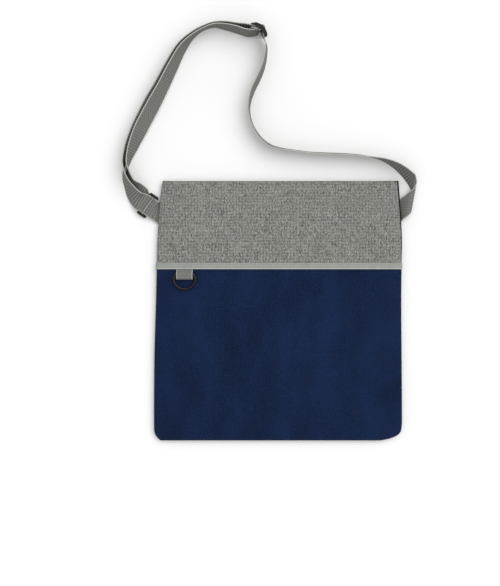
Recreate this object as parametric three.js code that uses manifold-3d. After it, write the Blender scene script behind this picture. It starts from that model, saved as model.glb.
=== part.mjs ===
// Crossbody tote bag lying on its back, front up. Millimetres, +Z up, +Y towards the mouth.
// The origin is on the resting face of the back, in the middle of the bag.
import * as THREE from 'three';
import { mergeVertices } from 'three/addons/utils/BufferGeometryUtils.js';
import Module from 'manifold-3d';

const wasm = await Module();
wasm.setup();

// Bag sizes
const CLOTH = 1.2; // wall of the cloth
const CROWN = 13; // height of the front over the surface
const MOUTH_CROWN = 9.6; // the same at the open top edge
const MOUTH_TAPER = 80; // length over which the bag flattens towards the mouth
const SEAM_HEIGHT = 6; // height of the side and bottom seams
const FOOT_ROUND = 62; // length over which the bag closes to the bottom seam
const EDGE_POWER = 12; // how square the cushion-like section is
const FOOT_POWER = 6; // the same towards the bottom seam
const GAP = 0.3; // clearance between pieces that touch
const BOTTOM_Y = -173.3;
const TOP_Y = 172;
const JOINT_Y = 59; // where heather and navy meet, under the tape
const BACK_PEEK = 1; // how far the black back stands over the front at the right of the mouth

// Outline of the bag: a row for each height; roll is where the front cloth ends on the right,
// as a share of the section's run (1 is the very edge)
const OUTLINE = [
  { y: -173.3, left: -157, right: 136, roll: 0.975 },
  { y: -171.3, left: -159.4, right: 146, roll: 0.975 },
  { y: -168.7, left: -161.8, right: 154.3, roll: 0.975 },
  { y: -164.7, left: -164.2, right: 160.8, roll: 0.975 },
  { y: -159.3, left: -165.5, right: 164, roll: 0.975 },
  { y: -146, left: -165.7, right: 165, roll: 0.975 },
  { y: -66, left: -165.2, right: 164.5, roll: 0.975 },
  { y: 14, left: -163, right: 164, roll: 0.975 },
  { y: 66, left: -161.9, right: 164.6, roll: 0.97 },
  { y: 86, left: -161.4, right: 165, roll: 0.925 },
  { y: 121, left: -159.3, right: 163.8, roll: 0.91 },
  { y: 161, left: -156, right: 161.2, roll: 0.9 },
  { y: 176, left: -153.4, right: 160, roll: 0.897 },
];

// Soft dents and swells of the front cloth: a row for each
const SWELLS = [
  { x: -70, y: 120, long: 90, wide: 46, turn: 12, rise: 0.8 },
  { x: 70, y: 96, long: 80, wide: 40, turn: -20, rise: -0.7 },
  { x: -40, y: -40, long: 120, wide: 55, turn: -8, rise: 0.9 },
  { x: 95, y: -70, long: 90, wide: 45, turn: 35, rise: -0.8 },
  { x: -105, y: -120, long: 70, wide: 40, turn: 20, rise: -0.7 },
];
const COLUMNS = 24; // facets across a panel
const ROLL_COLUMNS = 3; // facets of the back round the right edge
const NAVY_ROWS = 18;
const HEATHER_ROWS = 8;

// Tape over the joint
const TAPE = { low: 54.6, high: 63.4, thick: 0.9, left: -0.985, right: 0.955 };
const TAPE_ROWS = [0, 0.14, 0.5, 0.86, 1];

// D-ring and its tab, at the lower edge of the tape
const D_RING = {
  x: -124.5, barY: 48.2, neck: 14.2, halfWidth: 16.4, bow: 5.4, drop: 21.5, wire: 3.8, thick: 3.4,
  opening: 11.2, innerBow: 6.8, corner: 1.6, inner: 0.8, dip: 3.3,
};
const D_TAB = { width: 21.4, thick: 1, fold: -4.1 }; // fold is the middle of its lower turn, from the bar

// Webbing, ring and slider of the strap
const WEB = { half: 12.5, thick: 1.3 };
const RING = {
  x: -174.2, y: 140.3, heading: -35, long: 33.4, wide: 14.3, bar: 4.6, end: 3.6, corner: 2.6, inner: 1,
};
const SLIDER = {
  x: -24.3, y: 373.3, heading: -44, lean: -4, tilt: 13, pitch: 9.2, bar: 1.6, thick: 5,
  rail: 2.8, slot: 25.9, bow: 1.2, round: 0.7,
};
// Outline of the slider's rails: run from the middle, half the thickness there
const RAIL = [
  { run: 0, half: 2.5 }, { run: 3, half: 2.5 }, { run: 6, half: 2.5 }, { run: 9, half: 2.5 },
  { run: 10.8, half: 2.4 }, { run: 11.8, half: 1.8 }, { run: 12.2, half: 0.9 },
];
const MOULD_ROUND = 0.375; // rounding of the moulded rings' edges, as a share of their thickness
const STEP = 8; // spacing of the webbing's sections on open stretches

// The webbing at the right edge of the bag: it comes out from under the edge, rolls over and turns up
// on its edge. azimuth and elevation point across the webbing, half is half the run of that cut.
const CURL = [
  { x: 159.8, y: 131, z: 1.7, azimuth: 92, elevation: 0, half: 15.5 },
  { x: 163.7, y: 134, z: 2.7, azimuth: 91, elevation: 0, half: 15.6 },
  { x: 168.6, y: 138, z: 6.6, azimuth: 84, elevation: 0, half: 16.6 },
  { x: 173.6, y: 142, z: 9.8, azimuth: 82, elevation: 0, half: 17.6 },
  { x: 178.3, y: 146.6, z: 8.9, azimuth: 81, elevation: 0, half: 17.8 },
  { x: 180.6, y: 152.5, z: 6.4, azimuth: 81, elevation: 8, half: 16.4 },
  { x: 181.4, y: 161.5, z: 6.5, azimuth: 80, elevation: 22, half: 13.9 },
  { x: 178.8, y: 171, z: 11.1, azimuth: 69, elevation: 54, half: 12.6 },
  { x: 173.9, y: 178.2, z: 11.9, azimuth: 37, elevation: 62, half: 12.5 },
];

// The single stretch, on its edge: middle of the webbing, lean to the right of the way it runs, lift
const SINGLE = [
  { x: 158.9, y: 191.1, lean: 16, lift: 0 },
  { x: 143.2, y: 199.2, lean: 4, lift: 0 },
  { x: 129, y: 203.2, lean: -4, lift: 0 },
  { x: 111.7, y: 206, lean: -9, lift: 0 },
  { x: 89, y: 207.8, lean: -10, lift: 0 },
  { x: 62.3, y: 208.8, lean: -10, lift: 0 },
  { x: 42.3, y: 210, lean: -9, lift: 0 },
  { x: 22.3, y: 212.6, lean: -9, lift: 0 },
  { x: 2.3, y: 215.4, lean: -11, lift: 0 },
  { x: -11, y: 219.6, lean: -12, lift: 0 },
  { x: -24.3, y: 230.4, lean: -10, lift: 0 },
  { x: -35, y: 248, lean: -7, lift: 0 },
  { x: -39.2, y: 267.3, lean: -6, lift: 0 },
  { x: -37.7, y: 280.7, lean: -8, lift: 0 },
  { x: -33.5, y: 294, lean: -11, lift: 0 },
  { x: -25.7, y: 310, lean: -11, lift: 0.4 },
  { x: -19.8, y: 325, lean: -9, lift: 1 },
  { x: -16.6, y: 341, lean: -7, lift: 2 },
  { x: -16.4, y: 353, lean: -6, lift: 3 },
];

// The doubled stretch from the slider to the ring: middle between the two layers, lean to the right of
// the way it runs, gap between the layers, lift
const LOOP = [
  { x: -44.5, y: 371.5, lean: 13, gap: 7.4, lift: 5.4 },
  { x: -56.3, y: 374.6, lean: 12, gap: 4.2, lift: 3.6 },
  { x: -70.6, y: 378.1, lean: 8, gap: 3.4, lift: 1.8 },
  { x: -84.6, y: 379.8, lean: 0, gap: 2.4, lift: 0.4 },
  { x: -98.8, y: 375.8, lean: -3, gap: 2.6, lift: 0 },
  { x: -114, y: 366, lean: 3, gap: 3, lift: 0 },
  { x: -128.5, y: 349.8, lean: 18, gap: 4, lift: 0 },
  { x: -142.3, y: 324.5, lean: 28, gap: 5, lift: 0 },
  { x: -155.6, y: 298, lean: 33, gap: 6, lift: 0 },
  { x: -169.6, y: 271.9, lean: 40, gap: 7, lift: 0 },
  { x: -183.2, y: 245.3, lean: 40, gap: 6, lift: 0 },
  { x: -195.4, y: 218.1, lean: 26, gap: 5.4, lift: 0 },
  { x: -202.4, y: 197, lean: 6, gap: 5.4, lift: 0 },
];

// Ways of the outer and the inner layer on to the ring: middle of the webbing, lean, lift
const OUTER_END = [
  { x: -205.9, y: 187.5, lean: -7, lift: 0 },
  { x: -204.3, y: 176.4, lean: -18, lift: 0.1 },
  { x: -200.9, y: 168.3, lean: -25, lift: 0 },
  { x: -195.7, y: 158.1, lean: -40, lift: 0.6 },
  { x: -189.2, y: 149.3, lean: -56, lift: 2.1 },
  { x: -183, y: 144.7, lean: -90, lift: 6.5 },
];
const INNER_END = [
  { x: -200.4, y: 184, lean: -16, lift: 0.1 },
  { x: -196, y: 169.5, lean: -32, lift: 0.2 },
  { x: -190.5, y: 163.5, lean: -47, lift: 0.1 },
];

// The inner layer beside the ring: run from the ring's bar, slide along the bar, height, tilt
const INNER_RING = [
  { run: 13, slide: 7, z: 5.5, tilt: 22 },
  { run: 8, slide: 5.6, z: 3.1, tilt: 10 },
  { run: 4.2, slide: 2.6, z: 0.8, tilt: 0 },
];

// The inner layer between the slider and the loop: middle of the webbing, lean, lift
const LEAF_IN = [
  { x: -29.2, y: 368.4, lean: 10, lift: 6.3 },
  { x: -37, y: 367.2, lean: 12, lift: 6.2 },
];

// The sewn end behind the slider, seen along the bars: run along the slider, out from its middle, lean
const TAIL = [
  { run: -3.6, out: -2.2, lean: -2 },
  { run: -6.6, out: -6.2, lean: 3 },
  { run: -10.6, out: -10.6, lean: 8 },
];

// The side tab: run from the ring's bar towards the bag, height of the middle of the webbing, and the
// azimuth of its cut, which turns from square to along the bag's edge
const TAB_UPPER = [
  { run: 17, z: 2, azimuth: 86 },
  { run: 13, z: 2.7, azimuth: 86 },
  { run: 8.6, z: 4, azimuth: 70 },
  { run: 4.6, z: 6, azimuth: 55 },
];
const TAB_LOWER = [{ run: 4, z: 0.8, azimuth: 55 }, { run: 8, z: 0.8, azimuth: 70 }];

const UP = new THREE.Vector3(0, 0, 1);
const rad = THREE.MathUtils.degToRad;
const clamp = THREE.MathUtils.clamp;
const smooth = THREE.MathUtils.smoothstep;

// A column of the outline table at height y
function outlineAt(y, column) {
  let k = 0;
  while (k < OUTLINE.length - 2 && OUTLINE[k + 1].y < y) k += 1;
  const [low, high] = [OUTLINE[k], OUTLINE[k + 1]];
  const share = clamp((y - low.y) / (high.y - low.y), 0, 1);
  return THREE.MathUtils.lerp(low[column], high[column], share);
}

// Rise of the front cloth at a place
function swellAt(x, y) {
  let rise = 0;
  for (const s of SWELLS) {
    const turn = rad(s.turn);
    const dx = x - s.x;
    const dy = y - s.y;
    const a = (dx * Math.cos(turn) + dy * Math.sin(turn)) / s.long;
    const b = (dy * Math.cos(turn) - dx * Math.sin(turn)) / s.wide;
    rise += s.rise * Math.exp(-2 * (a * a + b * b));
  }
  return rise;
}

// How far the bag has closed towards the bottom seam: 0 at the seam, 1 in the body
function fullness(y) {
  const v = clamp((BOTTOM_Y + FOOT_ROUND - y) / FOOT_ROUND, 0, 1);
  return Math.sqrt(1 - v ** FOOT_POWER);
}

// A point of the bag's outside. The section runs from the left seam (run -1) over the front to the
// right seam (run 1) and back along the underside (run 1 to 3).
function bagPoint(run, y) {
  const front = run <= 1;
  const t = front ? run : 2 - run;
  const u = Math.sin((Math.PI / 2) * t);
  const left = outlineAt(y, 'left');
  const right = outlineAt(y, 'right');
  const x = (left + right) / 2 + (u * (right - left)) / 2;
  const body = Math.sqrt(Math.max(0, 1 - Math.abs(u) ** EDGE_POWER)) * fullness(y);
  if (!front) {
    const z = (SEAM_HEIGHT - GAP / 2) * (1 - body);
    return new THREE.Vector3(x, y, z < 0.02 ? 0 : z);
  }
  const crown = THREE.MathUtils.lerp(CROWN, MOUTH_CROWN, smooth(y, TOP_Y - MOUTH_TAPER, TOP_Y));
  return new THREE.Vector3(x, y, SEAM_HEIGHT + GAP / 2 + (crown - SEAM_HEIGHT + swellAt(x, y)) * body);
}

// Run of the front at a place
function runAt(x, y) {
  const left = outlineAt(y, 'left');
  const right = outlineAt(y, 'right');
  return (2 / Math.PI) * Math.asin((2 * x - left - right) / (right - left));
}

// Outward normal of the bag's outside
function bagNormal(run, y) {
  const dRun = 0.01;
  const dY = 0.05;
  const low = Math.max(BOTTOM_Y, y - dY);
  const across = bagPoint(run + dRun, y).sub(bagPoint(run - dRun, y));
  if (run <= -1) across.copy(bagPoint(run + dRun, y)).sub(bagPoint(3 - dRun, y));
  if (run >= 3) across.copy(bagPoint(-1 + dRun, y)).sub(bagPoint(run - dRun, y));
  const along = bagPoint(run, y + dY).sub(bagPoint(run, low));
  const normal = across.cross(along);
  if (normal.length() < 1e-7) return new THREE.Vector3(run > 0 && run < 2 ? 0.7 : -0.7, -0.7, 0).normalize();
  return normal.normalize();
}

// Closed body from rings of points that run the same way round: walls between the rings, and end caps
function bodyFromRings(rings) {
  const count = rings[0].length;
  const positions = rings.flat().flatMap((p) => [p.x, p.y, p.z]);
  const faces = [];
  const end = (rings.length - 1) * count;
  for (let a = 0; a < end; a += count) {
    const b = a + count;
    for (let k = 0; k < count; k += 1) {
      const n = (k + 1) % count;
      faces.push(a + k, a + n, b + n, a + k, b + n, b + k);
    }
  }
  for (let k = 1; k < count - 1; k += 1) {
    faces.push(0, k + 1, k, end, end + k, end + k + 1);
  }
  const geometry = new THREE.BufferGeometry();
  geometry.setAttribute('position', new THREE.Float32BufferAttribute(positions, 3));
  geometry.setIndex(faces);
  return geometry;
}

// Where the front cloth and the back end on the right at height y, with the clearance between them
function rollAt(y, side) {
  const roll = outlineAt(y, 'roll');
  const reach = 0.005;
  const length = bagPoint(roll + reach, y).distanceTo(bagPoint(roll - reach, y)) / (2 * reach);
  return roll + (side * GAP) / 2 / Math.max(length, SEAM_HEIGHT);
}

// Keep a point of the front over the seam's height, and one of the back under it
function onOwnSide(point, run) {
  if (run <= 1) point.z = Math.max(point.z, SEAM_HEIGHT + GAP / 2);
  else point.z = Math.min(point.z, SEAM_HEIGHT - GAP / 2);
  return point;
}

// Closed sheet: a grid of outside points and the same grid moved inwards, joined round the border
function sheetBody(rows, runsAt, offset, thick) {
  const outer = [];
  const inner = [];
  for (const y of rows) {
    for (const run of runsAt(y)) {
      const point = bagPoint(run, y);
      const normal = bagNormal(run, y);
      outer.push(point.clone().addScaledVector(normal, offset + thick));
      inner.push(onOwnSide(point.clone().addScaledVector(normal, offset), run));
    }
  }
  const wide = runsAt(rows[0]).length;
  const high = rows.length;
  const shift = outer.length;
  const faces = [];
  const quad = (a, b, c, d) => faces.push(a, b, c, a, c, d);
  for (let j = 0; j < high - 1; j += 1) {
    for (let i = 0; i < wide - 1; i += 1) {
      const k = j * wide + i;
      quad(k, k + 1, k + wide + 1, k + wide);
      quad(shift + k, shift + k + wide, shift + k + wide + 1, shift + k + 1);
    }
  }
  for (let i = 0; i < wide - 1; i += 1) {
    const top = (high - 1) * wide + i;
    quad(shift + i, shift + i + 1, i + 1, i);
    quad(top, top + 1, shift + top + 1, shift + top);
  }
  for (let j = 0; j < high - 1; j += 1) {
    const left = j * wide;
    const right = left + wide - 1;
    quad(left, left + wide, shift + left + wide, shift + left);
    quad(right, shift + right, shift + right + wide, right + wide);
  }
  const geometry = new THREE.BufferGeometry();
  const positions = [...outer, ...inner].flatMap((p) => [p.x, p.y, p.z]);
  geometry.setAttribute('position', new THREE.Float32BufferAttribute(positions, 3));
  geometry.setIndex(faces);
  return geometry;
}

// Even runs across a section between two places
function runsBetween(from, to, count) {
  return Array.from({ length: count + 1 }, (_, i) => from + ((to - from) * i) / count);
}

// Heights from the bottom seam, close together where the bag curves under
function risingRows(to, count) {
  const rows = [];
  for (let i = 0; i <= count; i += 1) {
    rows.push(BOTTOM_Y + (to - BOTTOM_Y) * (1 - Math.cos((Math.PI / 2) * (i / count) ** 1.15)));
  }
  return rows;
}

// Cloth panels of the bag
function heatherPanel() {
  const rows = runsBetween(JOINT_Y + GAP / 2, TOP_Y, HEATHER_ROWS);
  return sheetBody(rows, (y) => runsBetween(-1, rollAt(y, -1), COLUMNS), -CLOTH, CLOTH);
}

function navyPanel() {
  const rows = risingRows(JOINT_Y - GAP / 2, NAVY_ROWS);
  return sheetBody(rows, (y) => runsBetween(-1, rollAt(y, -1), COLUMNS), -CLOTH, CLOTH);
}

function backPanel() {
  const rows = [
    ...risingRows(JOINT_Y, NAVY_ROWS),
    ...runsBetween(JOINT_Y, TOP_Y + BACK_PEEK, HEATHER_ROWS).slice(1),
  ];
  const runs = (y) => [
    ...runsBetween(rollAt(y, 1), 1, ROLL_COLUMNS).slice(0, -1),
    ...runsBetween(1, 3, COLUMNS),
  ];
  return sheetBody(rows, runs, -CLOTH, CLOTH);
}

function trimTape() {
  const rows = TAPE_ROWS.map((share) => THREE.MathUtils.lerp(TAPE.low, TAPE.high, share));
  return sheetBody(rows, () => runsBetween(TAPE.left, TAPE.right, COLUMNS), GAP, TAPE.thick);
}

// Flat webbing through a list of stations: point is its middle, across is half its width as a vector
function webbing(stations, thick) {
  const rings = stations.map((station, i) => {
    const before = stations[Math.max(0, i - 1)].point;
    const after = stations[Math.min(stations.length - 1, i + 1)].point;
    const tangent = after.clone().sub(before).normalize();
    const face = tangent.clone().cross(station.across).normalize().multiplyScalar(thick / 2);
    const corner = (side, out) => station.point.clone()
      .addScaledVector(station.across, side).addScaledVector(face, out);
    return [corner(-1, -1), corner(1, -1), corner(1, 1), corner(-1, 1)];
  });
  return bodyFromRings(rings);
}

// Smooth the way between stations that lie further apart than a step
function fillStations(stations, step) {
  const points = new THREE.CatmullRomCurve3(stations.map((s) => s.point));
  const across = new THREE.CatmullRomCurve3(stations.map((s) => s.across));
  const spans = stations.length - 1;
  const filled = [];
  for (let i = 0; i < spans; i += 1) {
    const parts = Math.max(1, Math.round(stations[i].point.distanceTo(stations[i + 1].point) / step));
    for (let k = 0; k < parts; k += 1) {
      const t = (i + k / parts) / spans;
      filled.push({ point: points.getPoint(t), across: across.getPoint(t) });
    }
  }
  filled.push(stations[spans]);
  return filled;
}

// Horizontal directions along and to the right of a heading in degrees
function headingFrame(degrees) {
  const along = new THREE.Vector3(Math.cos(rad(degrees)), Math.sin(rad(degrees)), 0);
  return { along, right: along.clone().cross(UP) };
}

// Station of webbing that stands on its edge and leans to the right of its way
function standing(row, right, layer) {
  const lean = rad(row.lean);
  const across = UP.clone().multiplyScalar(Math.cos(lean)).addScaledVector(right, Math.sin(lean));
  const out = right.clone().multiplyScalar(Math.cos(lean)).addScaledVector(UP, -Math.sin(lean));
  const half = (row.gap ?? 0) / 2;
  const rest = WEB.half * Math.cos(lean) + Math.abs(Math.sin(lean)) * (half + WEB.thick / 2);
  const point = new THREE.Vector3(row.x, row.y, row.lift + rest + GAP / 2);
  point.addScaledVector(out, layer * half);
  return { point, across: across.multiplyScalar(WEB.half) };
}

// Directions to the right of the way at each row of a table of standing webbing
function rightOfWay(rows, first, final) {
  const path = [first, ...rows, final];
  return rows.map((_, i) => {
    const way = new THREE.Vector3(path[i + 2].x - path[i].x, path[i + 2].y - path[i].y, 0).normalize();
    return way.cross(UP);
  });
}

// Places of the slider's own frame: run along it, out to its outer face, across along its bars
const sliderLean = rad(SLIDER.lean);
const sliderTilt = rad(SLIDER.tilt);
const sliderWay = headingFrame(SLIDER.heading);
const sliderUp = UP.clone().multiplyScalar(Math.cos(sliderTilt))
  .addScaledVector(sliderWay.along, Math.sin(sliderTilt));
const sliderAlong = sliderWay.along.clone().multiplyScalar(Math.cos(sliderTilt))
  .addScaledVector(UP, -Math.sin(sliderTilt));
const leaningAcross = (lean) => sliderUp.clone().multiplyScalar(Math.cos(lean))
  .addScaledVector(sliderWay.right, -Math.sin(lean));
const sliderOut = sliderWay.right.clone().multiplyScalar(-Math.cos(sliderLean))
  .addScaledVector(sliderUp, -Math.sin(sliderLean));
const sliderAcross = leaningAcross(sliderLean);
const sliderFoot = (SLIDER.slot / 2 + SLIDER.rail) * sliderAcross.z
  + RAIL.at(-1).run * Math.abs(sliderAlong.z) + SLIDER.thick * Math.abs(sliderOut.z);
const sliderCentre = new THREE.Vector3(SLIDER.x, SLIDER.y, sliderFoot + GAP);

function inSlider(run, out, lean = SLIDER.lean) {
  const point = sliderCentre.clone().addScaledVector(sliderAlong, run).addScaledVector(sliderOut, out);
  return { point, across: leaningAcross(rad(lean)).multiplyScalar(WEB.half) };
}

// Part turn of the webbing round a bar of the slider, angles in degrees from the run direction
function roundBar(run, out, radius, from, to, count) {
  return runsBetween(from, to, count).map((angle) => inSlider(
    run + radius * Math.cos(rad(angle)), out + radius * Math.sin(rad(angle)),
  ));
}

// Frame of the strap ring, and half turns of webbing round its bars
const ringWay = headingFrame(RING.heading);
const ringAcross = ringWay.right.clone().multiplyScalar(-WEB.half);
const ringTurn = RING.bar / 2 + GAP + WEB.thick / 2;
const ringHeight = ringTurn + WEB.thick / 2 + GAP / 2;
const ringReach = (RING.wide - RING.bar) / 2;
const ringCentre = new THREE.Vector3(RING.x, RING.y, ringHeight);

function roundRing(side, from, to, count) {
  const bar = ringCentre.clone().addScaledVector(ringWay.along, side * ringReach);
  return runsBetween(from, to, count).map((angle) => ({
    point: bar.clone().addScaledVector(ringWay.along, ringTurn * Math.cos(rad(angle)))
      .addScaledVector(UP, ringTurn * Math.sin(rad(angle))),
    across: ringAcross.clone(),
  }));
}

// Station of webbing beside the ring's outer bar
function besideRing(row) {
  const point = ringCentre.clone().addScaledVector(ringWay.along, -ringReach - row.run)
    .addScaledVector(ringWay.right, -row.slide);
  const across = ringAcross.clone().multiplyScalar(Math.cos(rad(row.tilt)))
    .addScaledVector(UP, WEB.half * Math.sin(rad(row.tilt)));
  return { point: point.setZ(row.z), across };
}

// The strap: one length of webbing from the right edge of the bag to its sewn end behind the slider
function strap() {
  const curl = CURL.map((row) => ({
    point: new THREE.Vector3(row.x, row.y, row.z),
    across: new THREE.Vector3().setFromSphericalCoords(
      row.half, rad(90 - row.elevation), rad(row.azimuth + 90),
    ).applyAxisAngle(new THREE.Vector3(1, 0, 0), Math.PI / 2),
  }));
  const turnIn = SLIDER.bar + GAP + WEB.thick / 2;
  const turnOver = turnIn + WEB.thick + GAP;
  const sliderIn = inSlider(SLIDER.pitch, -turnIn).point;
  const singleRight = rightOfWay(SINGLE, CURL.at(-1), sliderIn);
  const loopRight = rightOfWay(LOOP, inSlider(-SLIDER.pitch, -turnIn).point, INNER_END[0]);
  const leafRight = rightOfWay(LEAF_IN, sliderCentre, LOOP[0]);
  const roundBarOfRing = roundRing(-1, 90, -90, 8);
  const outerRight = rightOfWay(OUTER_END, LOOP.at(-1), roundBarOfRing[0].point);
  const innerRing = INNER_RING.map(besideRing);
  const innerRight = rightOfWay(INNER_END, LOOP.at(-1), innerRing[0].point);
  const stations = [
    ...curl,
    ...SINGLE.map((row, i) => standing(row, singleRight[i], 0)),
    ...roundBar(SLIDER.pitch, -SLIDER.bow, turnIn, 262, 211, 3),
    ...roundBar(0, SLIDER.bow, turnOver, 31, 149, 6),
    ...roundBar(-SLIDER.pitch, -SLIDER.bow, turnIn, -31, -47, 1),
    ...LOOP.map((row, i) => standing(row, loopRight[i], 1)),
    ...OUTER_END.map((row, i) => standing(row, outerRight[i], 0)),
    ...roundBarOfRing,
    ...innerRing.reverse(),
    ...INNER_END.map((row, i) => standing(row, innerRight[i], 0)).reverse(),
    ...LOOP.map((row, i) => standing(row, loopRight[i], -1)).reverse(),
    ...LEAF_IN.map((row, i) => standing(row, leafRight[i], 0)).reverse(),
    ...roundBar(0, SLIDER.bow, turnIn, 325, 540, 8),
    ...TAIL.map((row) => inSlider(row.run, row.out, row.lean)),
  ];
  return webbing(fillStations(stations, STEP), WEB.thick);
}

// The side tab: webbing round the ring's bag-side bar, its upper leaf sewn under the bag's edge
function sideTab() {
  const bar = ringCentre.clone().addScaledVector(ringWay.along, ringReach);
  const leaf = (row) => ({
    point: new THREE.Vector3(bar.x, bar.y, row.z).addScaledVector(ringWay.along, row.run),
    across: headingFrame(row.azimuth).along.multiplyScalar(
      WEB.half / Math.sin(rad(row.azimuth - RING.heading)),
    ),
  });
  const stations = [...TAB_UPPER.map(leaf), ...roundRing(1, 90, 270, 8), ...TAB_LOWER.map(leaf)];
  return webbing(stations, WEB.thick);
}

// Plate with rounded edges, its middle at the origin
function roundedPlate(shape, thick, round, curveSegments) {
  const geometry = new THREE.ExtrudeGeometry(shape, {
    depth: thick - 2 * round, bevelThickness: round, bevelSize: round, bevelOffset: -round,
    bevelSegments: 2, curveSegments,
  });
  return geometry.translate(0, 0, round - thick / 2);
}

// Moulded flat ring from an outline and its opening
function mouldedRing(outline, opening, thick) {
  outline.holes.push(opening);
  return roundedPlate(outline, thick, MOULD_ROUND * thick, 6);
}

function roundedBox(path, halfX, halfY, radius) {
  path.moveTo(halfX - radius, -halfY);
  path.absarc(halfX - radius, radius - halfY, radius, -Math.PI / 2, 0, false);
  path.absarc(halfX - radius, halfY - radius, radius, 0, Math.PI / 2, false);
  path.absarc(radius - halfX, halfY - radius, radius, Math.PI / 2, Math.PI, false);
  path.absarc(radius - halfX, radius - halfY, radius, Math.PI, 1.5 * Math.PI, false);
  path.closePath();
  return path;
}

function strapRing() {
  const outline = roundedBox(new THREE.Shape(), RING.wide / 2, RING.long / 2, RING.corner);
  const opening = roundedBox(
    new THREE.Path(), RING.wide / 2 - RING.bar, RING.long / 2 - RING.end, RING.inner,
  );
  return mouldedRing(outline, opening, RING.bar);
}

// D outline: a straight bar along X, sides that widen from its ends, and a round bow below them
function dOutline(neck, half, top, bow, bottom, corner) {
  const side = top - corner;
  const turn = (x, y, wide, high, from, to, count) => runsBetween(from, to, count).map(
    (angle) => new THREE.Vector2(x + wide * Math.cos(rad(angle)), y + high * Math.sin(rad(angle))),
  );
  const flank = (sign) => [0.2, 0.4, 0.6, 0.8].map((share) => new THREE.Vector2(
    sign * THREE.MathUtils.lerp(neck, half, smooth(share, 0, 1)), THREE.MathUtils.lerp(side, -bow, share),
  ));
  return [
    ...turn(corner - neck, side, corner, corner, 90, 180, 4),
    ...flank(-1),
    ...turn(0, -bow, half, bottom - bow, 180, 360, 20),
    ...flank(1).reverse(),
    ...turn(neck - corner, side, corner, corner, 0, 90, 4),
  ];
}

function dRing() {
  const { neck, halfWidth, bow, opening, innerBow, wire, drop, thick, corner, inner } = D_RING;
  const outline = new THREE.Shape(dOutline(neck, halfWidth, wire / 2, bow, drop, corner));
  const inside = new THREE.Path(
    dOutline(opening, halfWidth - wire, -wire / 2, innerBow, drop - wire, inner),
  );
  return mouldedRing(outline, inside, thick);
}

// Webbing loop of the D-ring in the ring's own place: the bar lies along X at the origin
function dRingTab(edgeRun, surface) {
  const turn = D_RING.wire / 2 + GAP + D_TAB.thick / 2;
  const across = new THREE.Vector3(D_TAB.width / 2, 0, 0);
  const low = surface + GAP + D_TAB.thick / 2;
  const leafGap = D_TAB.thick + GAP;
  const at = (y, z) => ({ point: new THREE.Vector3(0, y, z), across });
  const stations = [
    at(edgeRun, low + leafGap),
    at(edgeRun - 1.5, low + leafGap + 1),
    at(D_TAB.thick + turn - 1, turn - 0.6),
    at(0.6, turn),
    ...runsBetween(90, 270, 8).map((angle) => at(
      D_TAB.fold + turn * Math.cos(rad(angle)), turn * Math.sin(rad(angle)),
    )),
    at(edgeRun, low),
  ];
  return webbing(stations, D_TAB.thick);
}

// Join closed geometries into one body
function joined(geometries) {
  const solids = geometries.map((geometry) => {
    const plain = geometry.clone();
    plain.deleteAttribute('normal');
    plain.deleteAttribute('uv');
    const merged = mergeVertices(plain);
    return new wasm.Manifold(new wasm.Mesh({
      numProp: 3,
      vertProperties: new Float32Array(merged.attributes.position.array),
      triVerts: new Uint32Array(merged.index.array),
    }));
  });
  const mesh = solids.reduce((whole, solid) => whole.add(solid)).getMesh();
  const geometry = new THREE.BufferGeometry();
  geometry.setAttribute('position', new THREE.Float32BufferAttribute(mesh.vertProperties, 3));
  geometry.setIndex(Array.from(mesh.triVerts));
  return geometry;
}

// Three-bar slider in its own place: run along X, bowed out along Y, bars along Z
function strapSlider() {
  const edge = (side, end) => RAIL.map(({ run, half }) => new THREE.Vector2(
    end * run, SLIDER.bow * (1 - 2 * (run / SLIDER.pitch) ** 2) + side * half,
  ));
  const outline = [
    ...edge(-1, -1).reverse(), ...edge(-1, 1).slice(1), ...edge(1, 1).reverse(), ...edge(1, -1).slice(1),
  ];
  const pieces = [-1, 1].map((end) => roundedPlate(new THREE.Shape(outline), SLIDER.rail, SLIDER.round, 1)
    .translate(0, 0, (end * (SLIDER.slot + SLIDER.rail)) / 2));
  for (const place of [-1, 0, 1]) {
    const bar = new THREE.CylinderGeometry(SLIDER.bar, SLIDER.bar, SLIDER.slot + SLIDER.rail, 12);
    bar.rotateX(Math.PI / 2);
    bar.translate(place * SLIDER.pitch, SLIDER.bow * (1 - 2 * place ** 2), 0);
    pieces.push(bar);
  }
  return joined(pieces);
}

function named(name, geometry, color, roughness) {
  const material = new THREE.MeshStandardMaterial({ color, roughness, metalness: 0, flatShading: true });
  const mesh = new THREE.Mesh(geometry, material);
  mesh.name = name;
  return mesh;
}

const COLOURS = {
  heather: 0x82837e, navy: 0x192642, black: 0x1b1b1a, tape: 0xa5a7a2, web: 0x84857f, plastic: 0x161615,
};

const bag = new THREE.Group();
bag.add(
  named('back_panel', backPanel(), COLOURS.black, 0.85),
  named('heather_panel', heatherPanel(), COLOURS.heather, 0.95),
  named('navy_panel', navyPanel(), COLOURS.navy, 0.9),
  named('trim_tape', trimTape(), COLOURS.tape, 0.85),
  named('side_tab', sideTab(), COLOURS.web, 0.85),
  named('strap', strap(), COLOURS.web, 0.85),
);

// The D-ring and its tab lie on the slope of the front; the ring's bow dips to the cloth
const ringRun = runAt(D_RING.x, D_RING.barY);
const ringNormal = bagNormal(ringRun, D_RING.barY);
const ringSurface = bagPoint(ringRun, D_RING.barY);
const barLift = D_TAB.thick + 2 * GAP + D_RING.wire / 2;
const dPlace = new THREE.Group();
dPlace.position.copy(ringSurface).addScaledVector(ringNormal, barLift);
dPlace.rotation.y = Math.atan2(ringNormal.x, ringNormal.z);
const dRingMesh = named('d_ring', dRing(), COLOURS.plastic, 0.35);
dRingMesh.rotation.x = rad(D_RING.dip);
dPlace.add(dRingMesh, named('d_ring_tab', dRingTab(TAPE.low - GAP - D_RING.barY, -barLift), COLOURS.web, 0.85));
bag.add(dPlace);

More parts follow.
